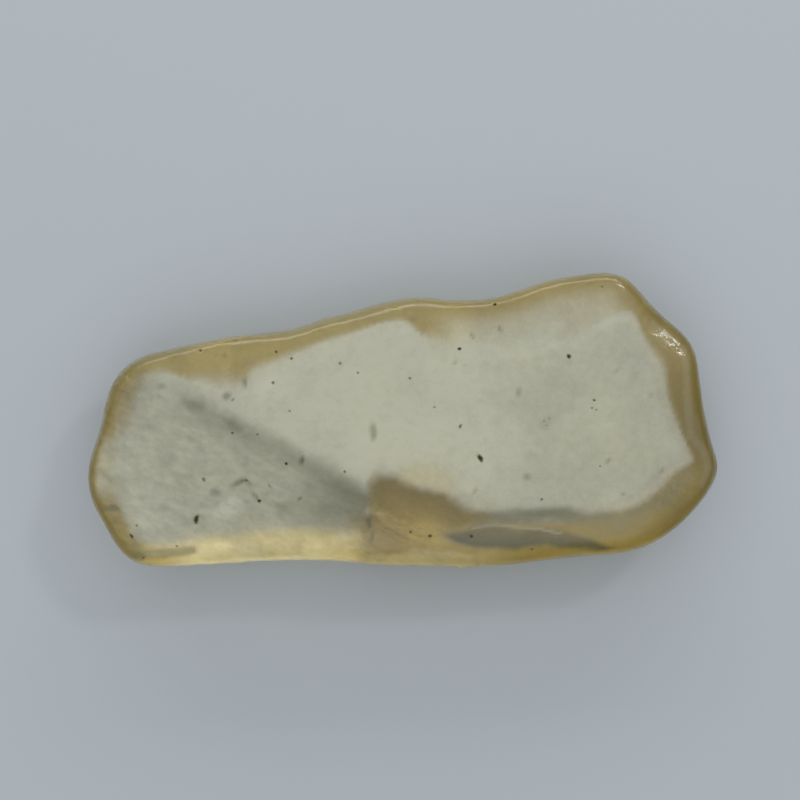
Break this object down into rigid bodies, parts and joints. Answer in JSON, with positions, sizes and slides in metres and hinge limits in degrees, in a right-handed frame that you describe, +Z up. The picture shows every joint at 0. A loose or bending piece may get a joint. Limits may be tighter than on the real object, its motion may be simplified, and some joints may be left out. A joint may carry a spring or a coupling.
{
  "type": "libyan desert glass",
  "caption": "Wind-worn slab of clear straw-yellow natural glass with steep bevelled edges, lying on its flat back.",
  "frame": {"origin": "middle of the underside of the stone's box, on the surface that it lies on", "axes": "+X along the stone's length towards its broad end, +Y across it, +Z up, out of the broad front"},
  "size_m": [0.042, 0.0198, 0.0076],
  "materials": {
    "desert_glass": "fine matt, wind-worn, translucent"
  },
  "bodies": {
    "root": {"libyan_desert_glass": "desert_glass"}
  },
  "joints": []
}
